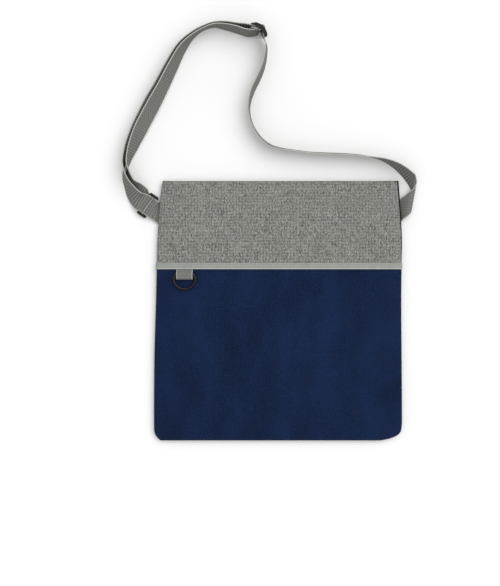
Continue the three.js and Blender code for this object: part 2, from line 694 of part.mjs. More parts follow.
const ringMesh = named('strap_ring', strapRing(), COLOURS.plastic, 0.35);
ringMesh.position.copy(ringCentre);
ringMesh.rotation.z = rad(RING.heading);
bag.add(ringMesh);

const sliderMesh = named('strap_slider', strapSlider(), COLOURS.plastic, 0.35);
sliderMesh.position.copy(sliderCentre);
sliderMesh.setRotationFromMatrix(new THREE.Matrix4().makeBasis(sliderAlong, sliderOut, sliderAcross));
bag.add(sliderMesh);

export default bag;
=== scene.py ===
# Crossbody tote bag on its back: cloth, webbing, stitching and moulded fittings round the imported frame
import math

import bmesh
import bpy
import numpy as np
from bpy.props import FloatProperty, FloatVectorProperty, PointerProperty
from mathutils import Matrix, Vector


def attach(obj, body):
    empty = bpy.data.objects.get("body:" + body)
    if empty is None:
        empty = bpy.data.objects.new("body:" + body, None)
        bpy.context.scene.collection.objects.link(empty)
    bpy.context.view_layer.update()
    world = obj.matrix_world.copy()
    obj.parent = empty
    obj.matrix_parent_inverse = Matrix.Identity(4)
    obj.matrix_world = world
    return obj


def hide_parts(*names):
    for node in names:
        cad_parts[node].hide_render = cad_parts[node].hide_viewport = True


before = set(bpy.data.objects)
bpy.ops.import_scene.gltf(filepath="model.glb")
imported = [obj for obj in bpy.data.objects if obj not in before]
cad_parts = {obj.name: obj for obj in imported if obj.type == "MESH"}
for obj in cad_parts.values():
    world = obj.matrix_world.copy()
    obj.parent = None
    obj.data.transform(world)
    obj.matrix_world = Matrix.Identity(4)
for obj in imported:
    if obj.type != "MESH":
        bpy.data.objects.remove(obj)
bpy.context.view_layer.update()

bl_info = {
    "name": "Crossbody Tote Bag",
    "version": (1, 0, 0),
    "blender": (4, 5, 0),
    "location": "View3D > Sidebar > Tote",
    "description": "Builds a flat crossbody tote bag with cloth, webbing, stitching and moulded fittings",
    "category": "Object",
}

# Millimetres throughout; meshes are turned to metres as they are made
MM = 0.001
GAP = 0.3
CROWN, MOUTH_CROWN, MOUTH_TAPER = 13.0, 9.6, 80.0
SEAM_HEIGHT, FOOT_ROUND = 6.0, 62.0
EDGE_POWER, FOOT_POWER = 12, 6
BOTTOM_Y, TOP_Y, JOINT_Y, BACK_PEEK = -173.3, 172.0, 59.0, 1.0
UP = np.array([0.0, 0.0, 1.0])

# Outline of the bag: height, left edge, right edge, share of the run where the front ends on the right
OUTLINE = (
    (-173.3, -157, 136, 0.975), (-171.3, -159.4, 146, 0.975), (-168.7, -161.8, 154.3, 0.975),
    (-164.7, -164.2, 160.8, 0.975), (-159.3, -165.5, 164, 0.975), (-146, -165.7, 165, 0.975),
    (-66, -165.2, 164.5, 0.975), (14, -163, 164, 0.975), (66, -161.9, 164.6, 0.97),
    (86, -161.4, 165, 0.925), (121, -159.3, 163.8, 0.91), (161, -156, 161.2, 0.9),
    (176, -153.4, 160, 0.897),
)

# Soft swells of the front: x, y, length, width, turn in degrees, rise
SWELLS = (
    (-70, 120, 90, 46, 12, 0.8), (70, 96, 80, 40, -20, -0.7), (-40, -40, 120, 55, -8, 0.9),
    (95, -70, 90, 45, 35, -0.8), (-105, -120, 70, 40, 20, -0.7),
)

# Tape over the joint of the two front cloths; profile: share up the tape, thickness
TAPE_LOW, TAPE_HIGH, TAPE_LEFT, TAPE_RIGHT = 54.6, 63.4, -0.985, 0.955
TAPE_PROFILE = (
    (0, 0.3), (0.03, 0.8), (0.1, 1.15), (0.17, 1.25), (0.24, 1.15), (0.3, 0.8), (0.34, 0.5), (0.38, 0.75),
    (0.46, 0.95), (0.64, 0.95), (0.73, 0.8), (0.82, 0.95), (0.93, 0.9), (0.98, 0.65), (1, 0.3),
)

# Painted light on the tape: share up the tape, tone. A painted shade darkens its lower edge, a painted
# highlight lies on the lower fold and painted shade fills the groove above it
TAPE_PAINTED_LIGHT = ((0, 0.25), (0.08, 1.3), (0.24, 1.3), (0.34, 0.75), (0.42, 1))

# Stitches: share up the tape and rise over its cloth, distance in from the hem and from the right edge
TAPE_STITCH_SHARE, TAPE_STITCH_RISE, HEM_STITCH_IN, EDGE_STITCH_IN = 0.75, 0.85, 3.4, 2.6
STITCH_ARCH, STITCH_SINK = 0.28, 0.12

# D-ring, strap ring and slider
D_X, D_Y, D_NECK, D_HALF, D_BOW, D_DROP = -124.5, 48.2, 14.2, 16.4, 5.4, 21.5
D_WIRE, D_THICK, D_OPENING, D_INNER_BOW, D_CORNER, D_INNER, D_DIP = 3.8, 3.4, 11.2, 6.8, 1.6, 0.8, 3.3
D_TAB_WIDE, D_TAB_THICK, D_TAB_FOLD = 21.4, 1.0, -4.1
RING_X, RING_Y, RING_HEADING = -174.2, 140.3, -35.0
RING_LONG, RING_WIDE, RING_BAR, RING_END, RING_CORNER, RING_INNER = 33.4, 14.3, 4.6, 3.6, 2.6, 1.0
SLIDER_X, SLIDER_Y, SLIDER_HEADING, SLIDER_LEAN, SLIDER_TILT = -24.3, 373.3, -44.0, -4.0, 13.0
SLIDER_PITCH, SLIDER_BAR, SLIDER_THICK, SLIDER_RAIL, SLIDER_SLOT, SLIDER_BOW = 9.2, 1.6, 5.0, 2.8, 25.9, 1.2
WEB_HALF, WEB_THICK = 12.5, 1.3

# Outline of the slider's rails: run from the middle, half the thickness
RAIL = ((0, 2.5), (3, 2.5), (6, 2.5), (9, 2.5), (10.8, 2.4), (11.8, 1.8), (12.2, 0.9))

# Mould of the slider: voxel, share and rounds of smoothing
MOULD_VOXEL, MOULD_SMOOTHING, MOULD_ROUNDS = 0.28, 0.5, 6

# Webbing out from under the right edge: x, y, z, azimuth and elevation across it, half the run of the cut
CURL = (
    (159.8, 131, 1.7, 92, 0, 15.5), (163.7, 134, 2.7, 91, 0, 15.6), (168.6, 138, 6.6, 84, 0, 16.6),
    (173.6, 142, 9.8, 82, 0, 17.6), (178.3, 146.6, 8.9, 81, 0, 17.8), (180.6, 152.5, 6.4, 81, 8, 16.4),
    (181.4, 161.5, 6.5, 80, 22, 13.9), (178.8, 171, 11.1, 69, 54, 12.6), (173.9, 178.2, 11.9, 37, 62, 12.5),
)

# Single stretch on its edge: x, y, lean to the right of its way, lift
SINGLE = (
    (158.9, 191.1, 16, 0), (143.2, 199.2, 4, 0), (129, 203.2, -4, 0), (111.7, 206, -9, 0),
    (89, 207.8, -10, 0), (62.3, 208.8, -10, 0), (42.3, 210, -9, 0), (22.3, 212.6, -9, 0),
    (2.3, 215.4, -11, 0), (-11, 219.6, -12, 0), (-24.3, 230.4, -10, 0), (-35, 248, -7, 0),
    (-39.2, 267.3, -6, 0), (-37.7, 280.7, -8, 0), (-33.5, 294, -11, 0), (-25.7, 310, -11, 0.4),
    (-19.8, 325, -9, 1), (-16.6, 341, -7, 2), (-16.4, 353, -6, 3),
)

# Doubled stretch: x, y midway between the layers, lean to the right of its way, gap, lift
LOOP = (
    (-44.5, 371.5, 13, 7.4, 5.4), (-56.3, 374.6, 12, 4.2, 3.6), (-70.6, 378.1, 8, 3.4, 1.8),
    (-84.6, 379.8, 0, 2.4, 0.4), (-98.8, 375.8, -3, 2.6, 0), (-114, 366, 3, 3, 0),
    (-128.5, 349.8, 18, 4, 0), (-142.3, 324.5, 28, 5, 0), (-155.6, 298, 33, 6, 0),
    (-169.6, 271.9, 40, 7, 0), (-183.2, 245.3, 40, 6, 0), (-195.4, 218.1, 26, 5.4, 0),
    (-202.4, 197, 6, 5.4, 0),
)

# Ways of the outer and the inner layer on to the ring: x, y, lean, lift
OUTER_END = (
    (-205.9, 187.5, -7, 0), (-204.3, 176.4, -18, 0.1), (-200.9, 168.3, -25, 0), (-195.7, 158.1, -40, 0.6),
    (-189.2, 149.3, -56, 2.1), (-183, 144.7, -90, 6.5),
)
INNER_END = ((-200.4, 184, -16, 0.1), (-196, 169.5, -32, 0.2), (-190.5, 163.5, -47, 0.1))

# Inner layer beside the ring: run from the ring's bar, slide along the bar, height, tilt
INNER_RING = ((13, 7, 5.5, 22), (8, 5.6, 3.1, 10), (4.2, 2.6, 0.8, 0))

# Inner layer between the slider and the loop: x, y, lean, lift
LEAF_IN = ((-29.2, 368.4, 10, 6.3), (-37, 367.2, 12, 6.2))

# Sewn end behind the slider, seen along its bars: run along it, out from its middle, lean
TAIL = ((-3.6, -2.2, -2), (-6.6, -6.2, 3), (-10.6, -10.6, 8))

# Side tab: run from the ring's bar towards the bag, height, azimuth of the cut
TAB_UPPER = ((17, 2, 86), (13, 2.7, 86), (8.6, 4, 70), (4.6, 6, 55))
TAB_LOWER = ((4, 0.8, 55), (8, 0.8, 70))

# Stage in metres: the camera, the floor and the key light, whose spread is in degrees
CAMERA_PLACE, CAMERA_LENS, CAMERA_SENSOR = (-0.0377, 0.0233, 1.6), 73.44, 36
FLOOR_REACH, FLOOR_DROP = 30.0, 0.0002
KEY_PLACE, KEY_STRENGTH, KEY_SPREAD = (0.7, 0.6, 1.5), 1.4, 60

# Even values that the tape and the webbing share
RIBBED_FINISH = dict(Roughness=0.85, Sheen_Weight=0.05, Sheen_Roughness=0.4, Specular_IOR_Level=0.15)

# Light of the room by height: a pale wall round the floor, a dimmer room, a broad soft box overhead
ROOM_LIGHT = ((0, 1), (0.28, 1), (0.36, 0.4), (1, 1.12))


def linear(hex_colour):
    """Linear colour from an sRGB hex value."""
    parts = [int(hex_colour[i:i + 2], 16) / 255 for i in (0, 2, 4)]
    return tuple(c / 12.92 if c <= 0.04045 else ((c + 0.055) / 1.055) ** 2.4 for c in parts)


def colour_prop(name, description, hex_colour):
    return FloatVectorProperty(
        name=name, description=description, default=linear(hex_colour), subtype="COLOR", min=0, max=1,
    )


def length_prop(name, description, millimetres):
    return FloatProperty(name=name, description=description, default=millimetres * MM, min=0, unit="LENGTH")


class ToteColours(bpy.types.PropertyGroup):
    """Colours of the cloths, webbing and fittings."""

    heather_dark: colour_prop("Heather dark yarn", "Darker yarn of the heather cloth", "434440")
    heather_light: colour_prop("Heather light yarn", "Lighter yarn of the heather cloth", "999a94")
    navy: colour_prop("Navy cloth", "Colour of the lower front", "0d1d3b")
    black: colour_prop("Black cloth", "Colour of the back", "0c0c0c")
    tape: colour_prop("Tape", "Folded tape over the joint", "949691")
    web_dark: colour_prop("Webbing valley", "Front of the webbing between its twill lines", "5f605b")
    web_light: colour_prop("Webbing twill", "Front of the webbing on its twill lines", "7c7d77")
    web_rib: colour_prop("Webbing rib", "Ribs of the webbing", "a0a19b")
    # Selvedge colour painted paler than the webbing: a painted highlight for edges that face the light
    web_selvedge_highlight: colour_prop("Webbing selvedge", "Selvedges of the webbing", "b2b3ad")
    web_reverse: colour_prop("Webbing reverse", "Reverse of the webbing between its ribs", "585954")
    fitting: colour_prop("Fittings", "Moulded rings and slider", "040404")
    thread: colour_prop("Thread", "Sewing thread", "868781")
    floor: colour_prop("Floor", "Pale studio floor", "eeeeee")


class ToteSizes(bpy.types.PropertyGroup):
    """Sizes of the cloth's make-up."""

    cloth: length_prop("Cloth", "Thickness of the cloth", 1.2)
    rib: length_prop("Rib", "Spacing of the webbing's cross ribs", 3.6)
    rib_depth: length_prop("Rib depth", "Height of a rib over its valley", 0.16)
    full_twist: FloatProperty(
        name="Full twist", description="Twist in degrees a millimetre that opens the ribs fully",
        default=1.5, min=0.1,
    )
    stitch: length_prop("Stitch", "Length of one stitch", 2.6)
    stitch_pitch: length_prop("Stitch pitch", "Distance from stitch to stitch", 3.6)
    thread: length_prop("Thread", "Thickness of the sewing thread", 0.55)


# Shape of the bag

def column(rows, index, at):
    """Column of a table between its rows, on a curve that doesn't overshoot."""
    xs = np.array([row[0] for row in rows], float)
    ys = np.array([row[index] for row in rows], float)
    step = np.diff(xs)
    slope = np.diff(ys) / step
    bend = np.zeros_like(ys)
    bend[0], bend[-1] = slope[0], slope[-1]
    for k in range(1, len(xs) - 1):
        if slope[k - 1] * slope[k] > 0:
            a, b = 2 * step[k] + step[k - 1], step[k] + 2 * step[k - 1]
            bend[k] = (a + b) / (a / slope[k - 1] + b / slope[k])
    k = np.clip(np.searchsorted(xs, at) - 1, 0, len(xs) - 2)
    t = np.clip((at - xs[k]) / step[k], 0, 1)
    return (
        ys[k] * (1 + 2 * t) * (1 - t) ** 2 + bend[k] * step[k] * t * (1 - t) ** 2
        + ys[k + 1] * t * t * (3 - 2 * t) + bend[k + 1] * step[k] * t * t * (t - 1)
    )


def cos_sin(degrees):
    return math.cos(math.radians(degrees)), math.sin(math.radians(degrees))


def smoothstep(low, high, value):
    t = np.clip((value - low) / (high - low), 0, 1)
    return t * t * (3 - 2 * t)


def swell_at(x, y):
    """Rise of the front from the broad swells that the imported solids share."""
    rise = np.zeros_like(x)
    for sx, sy, long, wide, turn, height in SWELLS:
        c, s = cos_sin(turn)
        a = ((x - sx) * c + (y - sy) * s) / long
        b = ((y - sy) * c - (x - sx) * s) / wide
        rise = rise + height * np.exp(-2 * (a * a + b * b))
    return rise


def crease_at(x, y):
    """Fine rise of the cloth: slack in the field, and puckers that the seams draw in."""
    rng = np.random.default_rng(11)
    rise = np.zeros_like(x)
    slack, pucker, fade = 0.0016, 0.05, 7
    for _ in range(16):
        angle, size, phase = rng.uniform(0, math.pi), rng.uniform(38, 120), rng.uniform(0, 2 * math.pi)
        way = x * math.cos(angle) + y * math.sin(angle)
        rise = rise + slack * size * np.cos(2 * math.pi * way / size + phase)
    by_tape = np.exp(-np.abs(y - 50) / fade) + np.exp(-np.abs(y - 67) / fade)
    seams = by_tape + 0.8 * np.exp((y - TOP_Y) / fade)
    for _ in range(5):
        size, phase = rng.uniform(9, 19), rng.uniform(0, 2 * math.pi)
        rise = rise + pucker * seams * np.cos(2 * math.pi * x / size + phase)
    by_ring = np.exp(-(((x - D_X) / 26) ** 4) - (((y - D_Y + 10) / 22) ** 4))
    return rise * (1 - by_ring)


def bag_point(run, y, creased=True):
    """Point of the bag's outside: run -1 to 1 over the front from the left seam, 1 to 3 back underneath."""
    run, y = np.broadcast_arrays(run, y)
    run = np.where(run < -1, run + 4, np.where(run > 3, run - 4, run))
    front = run <= 1
    u = np.sin(math.pi / 2 * np.where(front, run, 2 - run))
    left, right = column(OUTLINE, 1, y), column(OUTLINE, 2, y)
    x = (left + right) / 2 + u * (right - left) / 2
    foot = np.clip((BOTTOM_Y + FOOT_ROUND - y) / FOOT_ROUND, 0, 1)
    body = np.sqrt(np.maximum(0, 1 - np.abs(u) ** EDGE_POWER))
    body = body * np.sqrt(np.maximum(0, 1 - foot ** FOOT_POWER))
    crown = CROWN + (MOUTH_CROWN - CROWN) * smoothstep(TOP_Y - MOUTH_TAPER, TOP_Y, y)
    rise = swell_at(x, y) + (crease_at(x, y) if creased else 0)
    top = SEAM_HEIGHT + GAP / 2 + (crown - SEAM_HEIGHT + rise) * body
    under = (SEAM_HEIGHT - GAP / 2) * (1 - body)
    return np.stack([x, y, np.where(front, top, under)], -1)


def unit(vectors):
    return vectors / np.maximum(np.linalg.norm(vectors, axis=-1, keepdims=True), 1e-9)


def bag_normal(run, y, creased=True):
    """Outward direction of the bag's outside."""
    run, y = np.broadcast_arrays(run, y)
    across = bag_point(run + 0.01, y, creased) - bag_point(run - 0.01, y, creased)
    along = bag_point(run, y + 0.05, creased) - bag_point(run, np.maximum(BOTTOM_Y, y - 0.05), creased)
    normal = np.cross(across, along)
    lost = np.linalg.norm(normal, axis=-1, keepdims=True) < 1e-7
    right = ((run > 0) & (run < 2))[..., None]
    corner = np.where(right, (0.7, -0.7, 0), (-0.7, -0.7, 0))
    return unit(np.where(lost, corner, normal))


def run_at(x, y):
    """Run of the front at a place."""
    left, right = column(OUTLINE, 1, y), column(OUTLINE, 2, y)
    return 2 / math.pi * np.arcsin((2 * x - left - right) / (right - left))


def roll_at(y, side):
    """Where the front (side -1) or the back (side 1) ends on the right, with the clearance between them."""
    roll = column(OUTLINE, 3, y)
    length = np.linalg.norm(bag_point(roll + 0.005, y) - bag_point(roll - 0.005, y), axis=-1) / 0.01
    return roll + side * GAP / 2 / np.maximum(length, SEAM_HEIGHT)


def rising_rows(top, count):
    """Heights from the bottom seam, close together where the bag curves under."""
    return BOTTOM_Y + (top - BOTTOM_Y) * (1 - np.cos(math.pi / 2 * np.linspace(0, 1, count + 1) ** 1.15))


# Meshes

def add_object(data):
    """Object in the scene, named as its data."""
    item = bpy.data.objects.new(data.name, data)
    bpy.context.scene.collection.objects.link(item)
    return item


def new_piece(name, points, faces, material, body, node, slot, sharp=40):
    """Object from points in millimetres, smooth but for edges sharper than an angle, riding on a body."""
    mesh = bpy.data.meshes.new(name)
    mesh.from_pydata((np.asarray(points) * MM).tolist(), [], [list(map(int, face)) for face in faces])
    return piece_from_mesh(mesh, material, body, node, sharp)


def piece_from_mesh(mesh, material, body, node, sharp):
    work = bmesh.new()
    work.from_mesh(mesh)
    bmesh.ops.recalc_face_normals(work, faces=work.faces)
    for face in work.faces:
        face.smooth = True
    for edge in work.edges:
        edge.smooth = edge.calc_face_angle(0) < math.radians(sharp)
    work.to_mesh(mesh)
    work.free()
    mesh.materials.append(material)
    piece = add_object(mesh)
    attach(piece, body)
    if node:
        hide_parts(node)
    return piece


def grid_faces(grid):
    """Quads between the rows and columns of a grid of point numbers."""
    corners = grid[:-1, :-1], grid[:-1, 1:], grid[1:, 1:], grid[1:, :-1]
    return np.stack(corners, -1).reshape(-1, 4)


def tube_faces(grid):
    """Walls and end caps of a tube whose rings are the rows of a grid of point numbers."""
    walls = grid_faces(np.pad(grid, ((0, 0), (0, 1)), "wrap"))
    return [*walls.tolist(), grid[0, ::-1].tolist(), grid[-1].tolist()]


def sheet_mesh(rows, runs, offset, thick):
    """Points and faces of a closed sheet over the bag; runs has a row for each height."""
    heights = rows[:, None]
    point, normal = bag_point(runs, heights), bag_normal(runs, heights)
    thick = np.broadcast_to(thick, len(rows))[:, None, None]
    outer, inner = point + normal * (offset + thick), point + normal * offset
    z = inner[..., 2]
    over, under = np.maximum(z, SEAM_HEIGHT + GAP / 2), np.minimum(z, SEAM_HEIGHT - GAP / 2)
    inner[..., 2] = np.where(runs <= 1, over, under)
    k = np.arange(runs.size).reshape(runs.shape)
    loop = np.concatenate([k[0, :-1], k[:-1, -1], k[-1, :0:-1], k[:0:-1, 0]])
    after = np.roll(loop, -1)
    rim = np.stack([loop + runs.size, after + runs.size, after, loop], -1)
    points = np.concatenate([outer.reshape(-1, 3), inner.reshape(-1, 3)])
    return points, np.concatenate([grid_faces(k), grid_faces(k + runs.size)[:, [0, 3, 2, 1]], rim])


def lengths_along(points):
    """Length of a line of points up to each of them."""
    return np.concatenate([[0], np.cumsum(np.linalg.norm(np.diff(points, axis=0), axis=1))])


def curve_through(points, parts):
    """Smooth curve through points, with a number of parts for each span."""
    points = np.asarray(points, float)
    ends = np.concatenate([[2 * points[0] - points[1]], points, [2 * points[-1] - points[-2]]])
    steps = np.sqrt(np.linalg.norm(np.diff(ends, axis=0), axis=1))
    out = []
    for i, count in enumerate(parts):
        p0, p1, p2, p3 = ends[i:i + 4]
        d0, d1, d2 = steps[i:i + 3]
        d1 = d1 if d1 > 1e-4 else 1.0
        d0, d2 = (d if d > 1e-4 else d1 for d in (d0, d2))
        m1 = ((p1 - p0) / d0 - (p2 - p0) / (d0 + d1) + (p2 - p1) / d1) * d1
        m2 = ((p2 - p1) / d1 - (p3 - p1) / (d1 + d2) + (p3 - p2) / d2) * d1
        t = np.arange(count)[:, None] / count
        out.append(
            p1 + m1 * t + (3 * (p2 - p1) - 2 * m1 - m2) * t ** 2 + (2 * (p1 - p2) + m1 + m2) * t ** 3
        )
    return np.concatenate([*out, points[-1:]])


def webbing_piece(name, stations, thick, material, node, sizes, front):
    """Ribbed webbing through stations of (middle, half across), with its length and width as UV in metres.
    Its points know whether they are on the front (1) or the reverse (-1), how far a twist opens the ribs,
    and how near they are to a border (1)."""
    middles = np.array([s[0] for s in stations])
    gaps = np.linalg.norm(np.diff(middles, axis=0), axis=1)
    rib = sizes.rib / MM
    parts = np.maximum(1, np.round(gaps / (rib / 4)).astype(int))
    middle = curve_through(middles, parts)
    across = curve_through([s[1] for s in stations], parts)
    length = lengths_along(middle)
    face = unit(np.cross(np.gradient(middle, axis=0), across))
    half = [(s, 1.0) for s in np.linspace(-0.955, 0.955, 11)] + [(0.985, 0.75), (1, 0), (0.985, -0.75)]
    profile = np.concatenate([half, np.negative(half)])
    side, out = profile[None, :, :1], profile[None, :, 1]
    ribs = np.cos(2 * math.pi * length / rib)[:, None] * (np.abs(out) == 1) * (np.abs(side[..., 0]) < 0.9)
    lift = out * (thick / 2 + sizes.rib_depth / MM * (0.5 * ribs - 0.25))
    points = middle[:, None] + across[:, None] * side + face[:, None] * lift[..., None]
    rings, count = points.shape[:2]
    faces = tube_faces(np.arange(rings * count).reshape(rings, count))
    piece = new_piece(name, points.reshape(-1, 3), faces, material, "bag", node, "webbing", sharp=70)
    width = np.linalg.norm(across, axis=1)[:, None] * side[..., 0]
    flat = np.stack([np.broadcast_to(length[:, None], width.shape), width], -1).reshape(-1, 2) * MM
    layer = piece.data.uv_layers.new(name="length_and_width")
    corners = np.zeros(len(piece.data.loops), int)
    piece.data.loops.foreach_get("vertex_index", corners)
    layer.data.foreach_set("uv", flat[corners].ravel())
    turning = np.sum(np.gradient(unit(across), axis=0) * face, axis=1) / np.gradient(length)
    twist = np.convolve(np.degrees(np.abs(turning)), np.ones(19) / 19, "same")
    opened = np.clip(twist / sizes.full_twist, 0, 1)
    border = np.abs(side[..., 0])
    for label, values in (("face_side", out * front), ("opened", opened[:, None]), ("border", border)):
        attribute = piece.data.attributes.new(label, "FLOAT", "POINT")
        attribute.data.foreach_set("value", np.broadcast_to(values, (rings, count)).ravel())
    return piece, length[-1]


def ring_between(outer, inner, high, power=2.1, count=20):
    """Points and faces of a rounded bar between two closed flat outlines with matching points, as high to
    each side as is given."""
    middle, arm = (outer + inner) / 2, (outer - inner) / 2
    angle = np.linspace(0, 2 * math.pi, count, endpoint=False)
    c, s = np.cos(angle), np.sin(angle)
    reach = (np.abs(c) ** power + np.abs(s) ** power) ** (-1 / power)
    points = np.zeros((len(outer), count, 3))
    points[..., :2] = middle[:, None] + arm[:, None] * (reach * c)[None, :, None]
    points[..., 2] = high * reach * s
    k = np.arange(len(outer) * count).reshape(len(outer), count)
    return points.reshape(-1, 3), grid_faces(np.pad(k, ((0, 1), (0, 1)), "wrap"))


def arc(cx, cy, rx, ry, start, end, count):
    """Points on an ellipse's arc, angles in degrees, without the last."""
    angle = np.radians(np.linspace(start, end, count, endpoint=False))
    return np.stack([cx + rx * np.cos(angle), cy + ry * np.sin(angle)], -1)


def straight(a, b, count):
    return np.linspace(a, b, count, endpoint=False)


def d_outline(neck, half, top, bow, bottom, corner):
    """Closed D: a straight bar, sides that widen from its ends and a round bow below them."""
    side, share = top - corner, np.linspace(0, 1, 25)
    flank = np.stack([neck + (half - neck) * smoothstep(0, 1, share), side - (bow + side) * share], -1)
    return np.concatenate([
        straight((corner - neck, top), (neck - corner, top), 40),
        arc(neck - corner, side, corner, corner, 90, 0, 12),
        flank[:-1],
        arc(0, -bow, half, bottom - bow, 0, -180, 96),
        flank[:0:-1] * (-1, 1),
        arc(corner - neck, side, corner, corner, 180, 90, 12),
    ])


def box_outline(wide, long, corner):
    """Closed rectangle with rounded corners, half as wide and long."""
    x, y = wide - corner, long - corner
    half = np.concatenate([
        straight((-x, long), (x, long), 16), arc(x, y, corner, corner, 90, 0, 12),
        straight((wide, y), (wide, -y), 40), arc(x, -y, corner, corner, 0, -90, 12),
    ])
    return np.concatenate([half, -half])


def rail_outline():
    """Closed outline of the slider's rails: run along it, bowed out."""
    run = np.linspace(-RAIL[-1][0], RAIL[-1][0], 81)
    middle, half = SLIDER_BOW * (1 - 2 * (run / SLIDER_PITCH) ** 2), column(RAIL, 1, np.abs(run))
    low, high = np.stack([run, middle - half], -1), np.stack([run, middle + half], -1)
    return np.concatenate([low, high[::-1]])


def placed(points, matrix):
    """Points in millimetres moved by a 4x4 matrix."""
    matrix = np.array(matrix)
    return points @ matrix[:3, :3].T + matrix[:3, 3]


# Places of the fittings

def heading(degrees):
    """Level directions along and to the right of a heading."""
    along = np.array([*cos_sin(degrees), 0.0])
    return along, np.cross(along, UP)


def frame_matrix(*axes_and_origin):
    return np.vstack([np.column_stack(axes_and_origin), (0, 0, 0, 1)])


RING_WAY, RING_RIGHT = heading(RING_HEADING)
RING_TURN = RING_BAR / 2 + GAP + WEB_THICK / 2
RING_REACH = (RING_WIDE - RING_BAR) / 2
RING_CENTRE = np.array([RING_X, RING_Y, RING_TURN + WEB_THICK / 2 + GAP / 2])

SLIDER_WAY, SLIDER_RIGHT = heading(SLIDER_HEADING)
TILT_COS, TILT_SIN = cos_sin(SLIDER_TILT)
SLIDER_UP = UP * TILT_COS + SLIDER_WAY * TILT_SIN
SLIDER_ALONG = SLIDER_WAY * TILT_COS - UP * TILT_SIN


def slider_across(lean):
    """Direction across webbing that leans in the slider."""
    c, s = cos_sin(lean)
    return SLIDER_UP * c - SLIDER_RIGHT * s


SLIDER_ACROSS = slider_across(SLIDER_LEAN)
SLIDER_OUT = np.cross(SLIDER_ACROSS, SLIDER_ALONG)
SLIDER_FOOT = (
    (SLIDER_SLOT / 2 + SLIDER_RAIL) * SLIDER_ACROSS[2] + RAIL[-1][0] * abs(SLIDER_ALONG[2])
    + SLIDER_THICK * abs(SLIDER_OUT[2])
)
SLIDER_CENTRE = np.array([SLIDER_X, SLIDER_Y, SLIDER_FOOT + GAP])


def d_place():
    """Matrix of the D-ring's bar: X along the bar, Z away from the cloth."""
    run = run_at(D_X, D_Y)
    normal = bag_normal(run, D_Y, creased=False)
    origin = bag_point(run, D_Y, creased=False) + normal * (D_TAB_THICK + 2 * GAP + D_WIRE / 2)
    turn = Matrix.Rotation(math.atan2(normal[0], normal[2]), 4, "Y")
    return np.array(Matrix.Translation(Vector(origin)) @ turn)


def in_slider(run, out, lean=SLIDER_LEAN):
    return SLIDER_CENTRE + SLIDER_ALONG * run + SLIDER_OUT * out, slider_across(lean) * WEB_HALF


def turns(start, end, count):
    """Cosines and sines of even steps from one angle to another."""
    return [cos_sin(angle) for angle in np.linspace(start, end, count + 1)]


def round_bar(run, out, radius, start, end, count):
    return [in_slider(run + radius * c, out + radius * s) for c, s in turns(start, end, count)]


def round_ring(side, start, end, count):
    bar = RING_CENTRE + RING_WAY * side * RING_REACH
    return [
        (bar + (RING_WAY * c + UP * s) * RING_TURN, -RING_RIGHT * WEB_HALF)
        for c, s in turns(start, end, count)
    ]


def beside_ring(run, slide, z, tilt):
    """Station of webbing beside the ring's outer bar."""
    middle = RING_CENTRE - RING_WAY * (RING_REACH + run) - RING_RIGHT * slide
    c, s = cos_sin(tilt)
    return np.array([middle[0], middle[1], z]), (UP * s - RING_RIGHT * c) * WEB_HALF


def standing(row, right, layer):
    """Station of webbing on its edge, leaning to the right of its way."""
    x, y, lean = row[:3]
    gap = row[3] if len(row) == 5 else 0
    c, s = cos_sin(lean)
    rest = WEB_HALF * c + abs(s) * (gap / 2 + WEB_THICK / 2)
    middle = np.array([x, y, row[-1] + rest + GAP / 2]) + (right * c - UP * s) * layer * gap / 2
    return middle, (UP * c + right * s) * WEB_HALF


def standing_along(rows, first, final, layer=0):
    """Stations of webbing on its edge, between a place before its rows and one after them."""
    path = [first[:2], *[row[:2] for row in rows], final[:2]]
    ways = [np.subtract(after, before) for before, after in zip(path, path[2:])]
    rights = [np.cross(unit(np.array([*way, 0.0])), UP) for way in ways]
    return [standing(row, right, layer) for row, right in zip(rows, rights)]


def strap_stations():
    """Stations of the strap from the right edge of the bag to its sewn end behind the slider."""
    curl = []
    for x, y, z, azimuth, elevation, half in CURL:
        (c, s), (level, rise) = cos_sin(azimuth), cos_sin(elevation)
        curl.append((np.array([x, y, z]), np.array([level * c, level * s, rise]) * half))
    turn_in = SLIDER_BAR + GAP + WEB_THICK / 2
    turn_over = turn_in + WEB_THICK + GAP
    slider_in, slider_off = (in_slider(end * SLIDER_PITCH, -turn_in)[0] for end in (1, -1))
    ring_turn = round_ring(-1, 90, -90, 8)
    inner_ring = [beside_ring(*row) for row in INNER_RING]
    outer, inner = (standing_along(LOOP, slider_off, INNER_END[0], layer) for layer in (1, -1))
    return [
        *curl,
        *standing_along(SINGLE, CURL[-1], slider_in),
        *round_bar(SLIDER_PITCH, -SLIDER_BOW, turn_in, 262, 211, 3),
        *round_bar(0, SLIDER_BOW, turn_over, 31, 149, 6),
        *round_bar(-SLIDER_PITCH, -SLIDER_BOW, turn_in, -31, -47, 1),
        *outer,
        *standing_along(OUTER_END, LOOP[-1], ring_turn[0][0]),
        *ring_turn,
        *inner_ring[::-1],
        *standing_along(INNER_END, LOOP[-1], inner_ring[0][0])[::-1],
        *inner[::-1],
        *standing_along(LEAF_IN, SLIDER_CENTRE, LOOP[0])[::-1],
        *round_bar(0, SLIDER_BOW, turn_in, 325, 540, 8),
        *[in_slider(*row) for row in TAIL],
    ]


def tab_stations():
    """Stations of the side tab round the ring's bag-side bar."""
    bar = RING_CENTRE + RING_WAY * RING_REACH

    def leaf(row):
        run, z, azimuth = row
        reach = WEB_HALF / math.sin(math.radians(azimuth - RING_HEADING))
        return np.array([bar[0], bar[1], z]) + RING_WAY * run, heading(azimuth)[0] * reach

    return [*map(leaf, TAB_UPPER), *round_ring(1, 90, 270, 8), *map(leaf, TAB_LOWER)]


